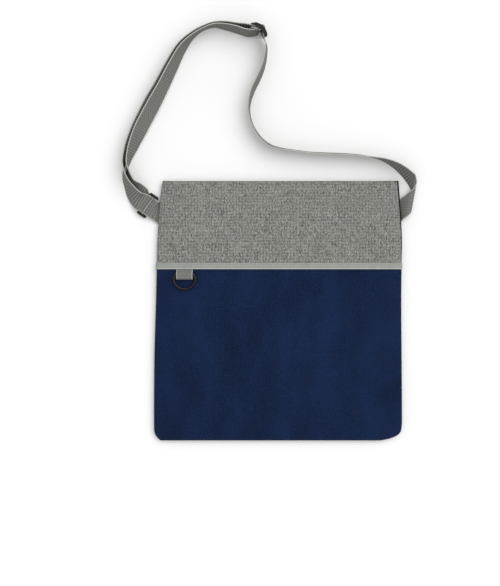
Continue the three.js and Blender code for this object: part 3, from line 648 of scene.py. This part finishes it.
def d_tab_stations():
    """Stations of the D-ring's webbing loop."""
    matrix = d_place()
    turn = D_WIRE / 2 + GAP + D_TAB_THICK / 2
    edge = TAPE_LOW - GAP - D_Y
    low = GAP + D_TAB_THICK / 2 - (D_TAB_THICK + 2 * GAP + D_WIRE / 2)
    high = low + D_TAB_THICK + GAP
    rows = [(edge, high), (edge - 1.5, high + 1), (D_TAB_THICK + turn - 1, turn - 0.6), (0.6, turn)]
    rows += [(D_TAB_FOLD + turn * c, turn * s) for c, s in turns(90, 270, 8)] + [(edge, low)]
    across = matrix[:3, 0] * D_TAB_WIDE / 2
    return [(placed(np.array([0, y, z]), matrix), across) for y, z in rows]


# Materials

def add_node(tree, kind, inputs=None, out=0, stops=(), **settings):
    """One output of a new node with its settings and, for a ramp, its stops. An input given a socket is
    linked, and any other value is set."""
    node = tree.nodes.new("ShaderNode" + kind)
    for name, value in settings.items():
        setattr(node, name, value)
    for name, value in (inputs or {}).items():
        if isinstance(value, bpy.types.NodeSocket):
            tree.links.new(value, node.inputs[name])
        else:
            node.inputs[name].default_value = value
    if stops:
        marks = node.color_ramp.elements
        marks[0].position, marks[1].position = stops[0][0], stops[-1][0]
        for place, _ in stops[1:-1]:
            marks.new(place)
        for mark, (_, colour) in zip(marks, stops):
            mark.color = colour
    return node.outputs[out]


def new_material(name, **sockets):
    """Material with a principled shader whose even values are set on its own sockets."""
    material = bpy.data.materials.new(name)
    material.use_nodes = True
    tree = material.node_tree
    shader = tree.nodes["Principled BSDF"]
    for socket, value in sockets.items():
        shader.inputs[socket.replace("_", " ")].default_value = value
    return material, tree, shader


def give_surface(tree, shader, colour, height, strength, depth_mm):
    """Colour and fine relief of a material."""
    tree.links.new(colour, shader.inputs["Base Color"])
    relief = add_node(tree, "Bump", {"Height": height, "Strength": strength, "Distance": depth_mm * MM})
    tree.links.new(relief, shader.inputs["Normal"])


def wave_scale(pitch_mm):
    """Scale of a wave texture whose bands lie this far apart."""
    return math.pi / 10 / (pitch_mm * MM)


def grain_scale(size_mm):
    """Scale of a noise texture whose grains are about this size."""
    return 1 / (size_mm * MM)


def rgba(colour, factor=1.0):
    return (*(part * factor for part in colour[:3]), 1.0)


def tones(rows, colour=(1, 1, 1)):
    """Ramp stops from rows of (position, tone of a colour)."""
    return [(place, rgba(colour, tone)) for place, tone in rows]


def slubs(tree, place, wide_mm, long_mm, along_y):
    """Noise drawn out along one set of yarns."""
    fine, coarse = grain_scale(wide_mm), grain_scale(long_mm)
    stretch = (fine, coarse, coarse) if along_y else (coarse, fine, coarse)
    mapped = add_node(tree, "Mapping", {"Vector": place, "Scale": stretch})
    return add_node(tree, "TexNoise", {"Vector": mapped, "Scale": 1.0, "Detail": 2.0, "Roughness": 0.6})


def crossed_lines(tree, place, pitch_mm, slants, distortion):
    """Lines that slant two ways, in degrees, laid over each other."""
    lines = []
    for slant in slants:
        turned = add_node(tree, "Mapping", {"Vector": place, "Rotation": (0, 0, math.radians(slant))})
        lines.append(add_node(tree, "TexWave", {
            "Vector": turned, "Scale": wave_scale(pitch_mm), "Distortion": distortion, "Detail": 1.0,
        }, "Fac"))
    return add_node(tree, "Mix", {0: 0.5, 2: lines[0], 3: lines[1]})


def single_yarns(tree, colour, place, pitch_mm, slants):
    """Colour toned by the single yarns at their real pitch, which show from close by, and their height."""
    height = crossed_lines(tree, place, pitch_mm, slants, 0.6)
    shade = add_node(tree, "MapRange", {"Value": height, "To Min": 0.75, "To Max": 1.25})
    toned = add_node(tree, "Mix", {0: 1.0, 6: colour, 7: shade}, 2, data_type="RGBA", blend_type="MULTIPLY")
    return toned, height


def woven_cloth(name, dark, light, yarn_mm, slub_mm, cloud_mm, cloud_share, bump_mm, roughness):
    """Plain-woven polyester. Yarns of two tones run both ways, and the one on top changes from place to
    place, which gives a mottled face with short upright and level streaks, soft clouds and no gloss."""
    material, tree, shader = new_material(
        name, Roughness=roughness, Sheen_Weight=0.03, Sheen_Roughness=0.5, Specular_IOR_Level=0.1,
    )
    place = add_node(tree, "TexCoord", out="Object")
    warp = slubs(tree, place, yarn_mm, slub_mm, True)
    weft = slubs(tree, place, yarn_mm, slub_mm * 0.6, False)
    over = add_node(tree, "TexNoise", {"Vector": place, "Scale": grain_scale(yarn_mm), "Detail": 1.0})
    top = add_node(tree, "MapRange", {"Value": over, "From Min": 0.36, "From Max": 0.56})
    yarn = add_node(tree, "Mix", {0: top, 2: weft, 3: warp})
    # About every eighth yarn is a thicker one, 4 mm from the next
    thick = [
        add_node(tree, "TexWave", {
            "Vector": place, "Scale": wave_scale(4), "Distortion": 2.5, "Detail": 1.0,
        }, "Fac", bands_direction=way)
        for way in "XY"
    ]
    check = add_node(tree, "Mix", {0: 0.5, 2: thick[0], 3: thick[1]})
    weave = add_node(tree, "Mix", {0: 0.08, 2: yarn, 3: check})
    cloud = slubs(tree, place, cloud_mm, cloud_mm * 2, True)
    tone = add_node(tree, "Mix", {0: cloud_share, 2: weave, 3: cloud})
    ramp = add_node(tree, "ValToRGB", {"Fac": tone}, stops=((0.38, rgba(dark)), (0.62, rgba(light))))
    colour, _ = single_yarns(tree, ramp, place, 0.5, (0, 90))
    give_surface(tree, shader, colour, yarn, 0.5, bump_mm)
    return material


def folded_tape(colours):
    """Folded polyester tape, woven in fine cross ribs. It is the palest cloth, smooth, with a faint rib."""
    material, tree, shader = new_material("folded_tape_woven", **RIBBED_FINISH)
    place = add_node(tree, "TexCoord", out="Object")
    # Its ribs are 0.5 mm apart and are drawn at 1.8 mm so that they show
    rib = add_node(tree, "TexWave", {
        "Vector": place, "Scale": wave_scale(1.8), "Distortion": 1.2, "Detail": 2.0, "Detail Scale": 3.0,
    }, "Fac")
    blotch = add_node(tree, "TexNoise", {"Vector": place, "Scale": grain_scale(9), "Detail": 3.0})
    both = add_node(tree, "Mix", {0: 0.55, 2: rib, 3: blotch})
    ramp = add_node(tree, "ValToRGB", {"Fac": both}, stops=tones(((0.2, 0.86), (0.8, 1.12)), colours.tape))
    # Painted light: the lower fold gets a painted highlight between painted shade on the edge below it and
    # painted shade in the groove above it
    height = add_node(tree, "SeparateXYZ", {"Vector": place}, "Y")
    up = add_node(tree, "MapRange", {
        "Value": height, "From Min": TAPE_LOW * MM, "From Max": TAPE_HIGH * MM,
    })
    fold_painted_light = add_node(tree, "ValToRGB", {"Fac": up}, stops=tones(TAPE_PAINTED_LIGHT))
    toned = add_node(tree, "Mix", {0: 1.0, 6: ramp, 7: fold_painted_light}, 2, data_type="RGBA", blend_type="MULTIPLY")
    give_surface(tree, shader, toned, rib, 0.4, 0.12)
    return material


def ribbed_webbing(colours, sizes):
    """Polyester webbing, woven with cross ribs. The front is a fine slanting twill. The reverse is darker
    and ribbed, a twist opens the ribs of both, and the selvedges are smooth, and paler from a painted
    highlight."""
    material, tree, shader = new_material("polyester_webbing_woven", **RIBBED_FINISH)
    flat = add_node(tree, "UVMap", uv_map="length_and_width")
    side, opened, border = (
        add_node(tree, "Attribute", out="Fac", attribute_name=name)
        for name in ("face_side", "opened", "border")
    )
    wave = add_node(tree, "TexWave", {
        "Vector": flat, "Scale": wave_scale(sizes.rib / MM), "Distortion": 0.8, "Detail": 1.0,
        "Detail Scale": 2.0, "Phase Offset": math.pi / 2,
    }, "Fac")
    rib = add_node(tree, "Math", {0: wave, 1: 1.8}, operation="POWER")
    # Twill lines are under 1 mm apart and are drawn at 3.2 mm so that they show
    twill = crossed_lines(tree, flat, 3.2, (52, -58), 0.8)
    tone = add_node(tree, "TexNoise", {"Vector": flat, "Scale": grain_scale(4.5), "Detail": 4.0})
    weave = add_node(tree, "Mix", {0: 0.45, 2: twill, 3: tone})
    front = add_node(tree, "ValToRGB", {"Fac": weave}, stops=(
        (0.28, rgba(colours.web_dark)), (0.72, rgba(colours.web_light)),
    ))
    on_reverse = add_node(tree, "Math", {0: rib, 1: 0.55}, operation="MULTIPLY")
    reverse = add_node(tree, "Mix", {
        0: on_reverse, 6: rgba(colours.web_reverse), 7: rgba(colours.web_rib),
    }, 2, data_type="RGBA")
    # Near a border the colour turns to the paler selvedge colour, a painted highlight along the edges
    shown, upper, edge = (
        add_node(tree, "MapRange", {
            "Value": value, "From Min": least, "From Max": most, "To Min": low, "To Max": high,
        })
        for value, least, most, low, high in (
            (opened, 0, 1, 0.18, 0.75), (side, -0.9, -0.6, 0, 1), (border, 0.9, 0.96, 0, 1),
        )
    )
    face = add_node(tree, "Mix", {0: shown, 6: front, 7: reverse}, 2, data_type="RGBA")
    cloth = add_node(tree, "Mix", {0: upper, 6: reverse, 7: face}, 2, data_type="RGBA")
    colour = add_node(tree, "Mix", {0: edge, 6: cloth, 7: rgba(colours.web_selvedge_highlight)}, 2, data_type="RGBA")
    toned, yarns = single_yarns(tree, colour, flat, 0.8, (52, -52))
    height = add_node(tree, "Mix", {0: 0.5, 2: weave, 3: yarns})
    give_surface(tree, shader, toned, height, 0.4, 0.2)
    return material


def moulded_acetal(colours):
    """Black acetal, moulded. It is satin with a faint grain, duller where it has been handled."""
    material, tree, shader = new_material("acetal_moulded", IOR=1.48, Specular_IOR_Level=0.3)
    place = add_node(tree, "TexCoord", out="Object")
    wear = add_node(tree, "TexNoise", {"Vector": place, "Scale": grain_scale(4), "Detail": 4.0})
    rough = add_node(tree, "MapRange", {
        "Value": wear, "From Min": 0.3, "From Max": 0.7, "To Min": 0.22, "To Max": 0.34,
    })
    tree.links.new(rough, shader.inputs["Roughness"])
    stops = tones(((0.3, 0.85), (0.75, 1.35)), colours.fitting)
    ramp = add_node(tree, "ValToRGB", {"Fac": wear}, stops=stops)
    # The mould's grain is about 0.1 mm and is drawn at 0.5 mm so that it shows
    grain = add_node(tree, "TexNoise", {"Vector": place, "Scale": grain_scale(0.5), "Detail": 2.0})
    give_surface(tree, shader, ramp, grain, 0.25, 0.05)
    return material


def spun_thread(colours):
    """Polyester sewing thread, twisted. It catches the light a little more than the cloth under it."""
    material, tree, shader = new_material("polyester_thread_twisted", Roughness=0.6, Specular_IOR_Level=0.4)
    place = add_node(tree, "TexCoord", out="Object")
    # The twist is 0.4 mm and is drawn at 0.9 mm so that it shows
    twist = add_node(
        tree, "TexWave", {"Vector": place, "Scale": wave_scale(0.9)}, "Fac", bands_direction="DIAGONAL",
    )
    ramp = add_node(tree, "ValToRGB", {"Fac": twist}, stops=tones(((0, 0.8), (1, 1.1)), colours.thread))
    tree.links.new(ramp, shader.inputs["Base Color"])
    return material


# Operators

class TOTE_OT_stage(bpy.types.Operator):
    """Camera over the bag, pale floor and soft light from the upper right"""

    bl_idname = "tote.stage"
    bl_label = "Stage"

    def execute(self, context):
        scene = context.scene
        scene.view_settings.view_transform = "Standard"
        camera = add_object(bpy.data.cameras.new("camera_over_bag"))
        camera.location = CAMERA_PLACE
        camera.data.lens, camera.data.sensor_width = CAMERA_LENS, CAMERA_SENSOR
        scene.camera = camera
        mesh = bpy.data.meshes.new("floor")
        corners = [(x * FLOOR_REACH, y * FLOOR_REACH, 0) for x, y in ((-1, -1), (1, -1), (1, 1), (-1, 1))]
        mesh.from_pydata(corners, [], [(0, 1, 2, 3)])
        floor = add_object(mesh)
        floor.location.z = -FLOOR_DROP
        paint = rgba(scene.tote_colours.floor)
        material, _, _ = new_material(
            "floor_matt_paint", Base_Color=paint, Roughness=0.95, Specular_IOR_Level=0.1,
        )
        mesh.materials.append(material)
        key = add_object(bpy.data.lights.new("broad_key_light", "SUN"))
        key.data.energy, key.data.angle = KEY_STRENGTH, math.radians(KEY_SPREAD)
        key.location = KEY_PLACE
        key.rotation_euler = (-key.location).to_track_quat("-Z", "Y").to_euler()
        world = bpy.data.worlds.new("studio_light")
        world.use_nodes = True
        room = world.node_tree
        way = add_node(room, "TexCoord", out="Generated")
        up = add_node(room, "SeparateXYZ", {"Vector": way}, "Z")
        glow = add_node(room, "ValToRGB", {"Fac": up}, stops=tones(ROOM_LIGHT))
        room.links.new(glow, room.nodes["Background"].inputs["Color"])
        scene.world = world
        return {"FINISHED"}


class TOTE_OT_cloth_panels(bpy.types.Operator):
    """Heather, navy and black cloths of the bag"""

    bl_idname = "tote.cloth_panels"
    bl_label = "Cloth panels"

    def execute(self, context):
        colours, cloth = context.scene.tote_colours, context.scene.tote_sizes.cloth / MM
        upper = np.linspace(JOINT_Y + GAP / 2, TOP_Y, 72)
        lower = rising_rows(JOINT_Y - GAP / 2, 130)
        upper_runs, lower_runs = (
            np.linspace(-1, roll_at(rows, -1), 151, axis=1) for rows in (upper, lower)
        )
        whole = np.append(rising_rows(JOINT_Y, 90), np.linspace(JOINT_Y, TOP_Y + BACK_PEEK, 40)[1:])
        over = np.linspace(roll_at(whole, 1), 1, 12, endpoint=False, axis=1)
        whole_runs = np.hstack([over, np.tile(np.linspace(1, 3, 97), (len(whole), 1))])
        # Yarns are 0.5 mm apart and are drawn at 0.9 mm so that the heather shows
        heather = woven_cloth(
            "heather_polyester_woven", colours.heather_dark, colours.heather_light, yarn_mm=0.9,
            slub_mm=3.6, cloud_mm=12, cloud_share=0.07, bump_mm=0.25, roughness=0.92,
        )
        # Yarns are 0.4 mm apart and are drawn at 1.2 mm so that the weave shows
        navy = woven_cloth(
            "navy_polyester_woven", rgba(colours.navy, 0.55), rgba(colours.navy, 1.45), yarn_mm=1.2,
            slub_mm=4, cloud_mm=45, cloud_share=0.36, bump_mm=0.12, roughness=0.85,
        )
        # Yarns are 0.4 mm apart and are drawn at 1.5 mm so that the weave shows
        black = woven_cloth(
            "black_polyester_woven", rgba(colours.black, 0.8), rgba(colours.black, 1.25), yarn_mm=1.5,
            slub_mm=4, cloud_mm=30, cloud_share=0.3, bump_mm=0.15, roughness=0.75,
        )
        for name, node, rows, runs, material, flat, under in (
            ("heather_cloth", "heather_panel", upper, upper_runs, heather, (0.336, 0.128), ["back_panel"]),
            ("navy_cloth", "navy_panel", lower, lower_runs, navy, (0.34, 0.25), ["back_panel"]),
            ("back_cloth", "back_panel", whole, whole_runs, black, (0.35, 0.365), []),
        ):
            piece = new_piece(name, *sheet_mesh(rows, runs, -cloth, cloth), material, "bag", node, name)
        return {"FINISHED"}


class TOTE_OT_trim_tape(bpy.types.Operator):
    """Folded tape over the joint of the two front cloths"""

    bl_idname = "tote.trim_tape"
    bl_label = "Trim tape"

    def execute(self, context):
        share = np.array([row[0] for row in TAPE_PROFILE])
        fine = np.interp(np.linspace(0, len(share) - 1, 57), np.arange(len(share)), share)
        rows = TAPE_LOW + (TAPE_HIGH - TAPE_LOW) * fine
        thick = column(TAPE_PROFILE, 1, fine)
        runs = np.tile(np.linspace(TAPE_LEFT, TAPE_RIGHT, 201), (len(rows), 1))
        material = folded_tape(context.scene.tote_colours)
        tape = new_piece("tape", *sheet_mesh(rows, runs, GAP, thick), material, "bag", "trim_tape", "tape")
        return {"FINISHED"}


class TOTE_OT_webbing(bpy.types.Operator):
    """Strap, side tab and the D-ring's loop"""

    bl_idname = "tote.webbing"
    bl_label = "Webbing"

    def execute(self, context):
        sizes = context.scene.tote_sizes
        material = ribbed_webbing(context.scene.tote_colours, sizes)
        for name, stations, thick, wide, node, under, front in (
            ("strap_webbing", strap_stations(), WEB_THICK, 2 * WEB_HALF, "strap", ["floor"], 1),
            ("side_tab_webbing", tab_stations(), WEB_THICK, 2 * WEB_HALF, "side_tab", ["strap_ring"], -1),
            ("d_ring_webbing", d_tab_stations(), D_TAB_THICK, D_TAB_WIDE, "d_ring_tab", ["navy_cloth"], 1),
        ):
            piece, length = webbing_piece(name, stations, thick, material, node, sizes, front)
        return {"FINISHED"}


class TOTE_OT_rings(bpy.types.Operator):
    """D-ring of the front and rectangular ring of the strap"""

    bl_idname = "tote.rings"
    bl_label = "Rings"

    def execute(self, context):
        material = moulded_acetal(context.scene.tote_colours)
        outer = d_outline(D_NECK, D_HALF, D_WIRE / 2, D_BOW, D_DROP, D_CORNER)
        inner = d_outline(D_OPENING, D_HALF - D_WIRE, -D_WIRE / 2, D_INNER_BOW, D_DROP - D_WIRE, D_INNER)
        d_matrix = d_place() @ np.array(Matrix.Rotation(math.radians(D_DIP), 4, "X"))
        wide, long = RING_WIDE / 2, RING_LONG / 2
        rim = box_outline(wide, long, RING_CORNER)
        opening = box_outline(wide - RING_BAR, long - RING_END, RING_INNER)
        matrix = frame_matrix(RING_WAY, -RING_RIGHT, UP, RING_CENTRE)
        for name, (points, faces), place, body, node in (
            ("d_ring_moulding", ring_between(outer, inner, D_THICK / 2), d_matrix, "ring", "d_ring"),
            ("strap_ring_moulding", ring_between(rim, opening, RING_BAR / 2), matrix, "bag", "strap_ring"),
        ):
            new_piece(name, placed(points, place), faces, material, body, node, "hardware")
        return {"FINISHED"}


class TOTE_OT_strap_slider(bpy.types.Operator):
    """Three-bar slider of the strap"""

    bl_idname = "tote.strap_slider"
    bl_label = "Strap slider"

    def execute(self, context):
        apart = SLIDER_SLOT + SLIDER_RAIL
        tubes = [(rail_outline(), end * apart / 2, SLIDER_RAIL) for end in (-1, 1)]
        for place in (-1, 0, 1):
            middle = place * SLIDER_PITCH, SLIDER_BOW * (1 - 2 * place ** 2)
            tubes.append((arc(*middle, SLIDER_BAR, SLIDER_BAR, 0, 360, 32), 0, apart))
        points, faces = [], []
        for outline, middle, long in tubes:
            faces += tube_faces(np.arange(2 * len(outline)).reshape(2, -1) + len(points))
            points += [(x, y, middle + end * long / 2) for end in (-1, 1) for x, y in outline]
        matrix = frame_matrix(SLIDER_ALONG, SLIDER_OUT, SLIDER_ACROSS, SLIDER_CENTRE)
        rough = bpy.data.meshes.new("slider_rough")
        rough.from_pydata((placed(np.array(points), matrix) * MM).tolist(), [], faces)
        mould = add_object(rough)
        remesh = mould.modifiers.new("one_body", "REMESH")
        remesh.mode, remesh.voxel_size = "VOXEL", MOULD_VOXEL * MM
        soften = mould.modifiers.new("rounded_edges", "SMOOTH")
        soften.factor, soften.iterations = MOULD_SMOOTHING, MOULD_ROUNDS
        mesh = bpy.data.meshes.new_from_object(mould.evaluated_get(context.evaluated_depsgraph_get()))
        bpy.data.objects.remove(mould)
        bpy.data.meshes.remove(rough)
        mesh.name = "strap_slider_moulding"
        material = moulded_acetal(context.scene.tote_colours)
        piece_from_mesh(mesh, material, "bag", "strap_slider", sharp=80)
        return {"FINISHED"}


def stitch_row(name, places, normals, sizes, material, slot):
    """Row of stitches along a line of closely spaced places on the cloth."""
    steps = lengths_along(places)
    pitch, half, thick = sizes.stitch_pitch / MM, sizes.stitch / MM / 2, sizes.thread / MM / 2
    at = np.arange(pitch, steps[-1] - pitch / 2, pitch)

    def along_row(values, where):
        return np.stack([np.interp(where, steps, values[:, i]) for i in range(3)], -1)

    share = np.linspace(-1, 1, 9)
    girth = thick * np.sqrt(np.maximum(0.02, 1 - share ** 6))
    arch = STITCH_ARCH * (1 - share ** 2) - STITCH_SINK
    ring = np.linspace(0, 2 * math.pi, 8, endpoint=False)
    grid = np.arange(len(share) * len(ring)).reshape(len(share), len(ring))
    points, faces = [], []
    for centre in at:
        middle = along_row(places, centre + share * half)
        normal = unit(along_row(normals, centre + share * half))
        way = unit(np.gradient(middle, axis=0))
        side = unit(np.cross(normal, way))
        swing = side[:, None] * np.cos(ring)[None, :, None] + normal[:, None] * np.sin(ring)[None, :, None]
        faces += tube_faces(grid + len(points) * grid.size)
        points.append((middle + normal * arch[:, None])[:, None] + swing * girth[:, None, None])
    new_piece(name, np.concatenate(points).reshape(-1, 3), faces, material, "bag", None, slot, sharp=80)


class TOTE_OT_stitching(bpy.types.Operator):
    """Rows of stitches on the tape, the hem and the right edge"""

    bl_idname = "tote.stitching"
    bl_label = "Stitching"

    def execute(self, context):
        sizes = context.scene.tote_sizes
        thread = spun_thread(context.scene.tote_colours)
        on_tape = np.linspace(TAPE_LEFT + 0.02, TAPE_RIGHT - 0.02, 600)
        tape_y = TAPE_LOW + (TAPE_HIGH - TAPE_LOW) * TAPE_STITCH_SHARE
        hem_y = TOP_Y - HEM_STITCH_IN
        on_hem = np.linspace(-0.96, roll_at(hem_y, -1) - 0.03, 600)
        edge_y = np.linspace(TAPE_HIGH + 1, TOP_Y - 5, 300)
        on_edge = run_at(bag_point(roll_at(edge_y, -1), edge_y)[:, 0] - EDGE_STITCH_IN, edge_y)
        for name, runs, heights, rise, slot in (
            ("tape_stitches", on_tape, tape_y, GAP + TAPE_STITCH_RISE, "tape"),
            ("hem_stitches", on_hem, hem_y, 0, "heather_cloth"),
            ("edge_stitches", on_edge, edge_y, 0, "heather_cloth"),
        ):
            normals = bag_normal(runs, heights)
            stitch_row(name, bag_point(runs, heights) + normals * rise, normals, sizes, thread, slot)
        return {"FINISHED"}


class TOTE_PT_panel(bpy.types.Panel):
    """Pieces of the tote bag"""

    bl_idname = "TOTE_PT_panel"
    bl_label = "Crossbody tote bag"
    bl_space_type = "VIEW_3D"
    bl_region_type = "UI"
    bl_category = "Tote"

    def draw(self, context):
        for group in (context.scene.tote_colours, context.scene.tote_sizes):
            box = self.layout.box()
            for name in group.__annotations__:
                box.prop(group, name)
        for operator in OPERATORS:
            self.layout.operator(operator.bl_idname)


OPERATORS = (
    TOTE_OT_stage, TOTE_OT_cloth_panels, TOTE_OT_trim_tape, TOTE_OT_webbing, TOTE_OT_rings,
    TOTE_OT_strap_slider, TOTE_OT_stitching,
)
CLASSES = (ToteColours, ToteSizes, *OPERATORS, TOTE_PT_panel)


def register():
    for item in CLASSES:
        bpy.utils.register_class(item)
    bpy.types.Scene.tote_colours = PointerProperty(type=ToteColours)
    bpy.types.Scene.tote_sizes = PointerProperty(type=ToteSizes)


def unregister():
    del bpy.types.Scene.tote_sizes
    del bpy.types.Scene.tote_colours
    for item in reversed(CLASSES):
        bpy.utils.unregister_class(item)


def main():
    register()
    bpy.ops.tote.stage()
    bpy.ops.tote.cloth_panels()
    bpy.ops.tote.trim_tape()
    bpy.ops.tote.webbing()
    bpy.ops.tote.rings()
    bpy.ops.tote.strap_slider()
    bpy.ops.tote.stitching()


if __name__ == "__main__":
    main()
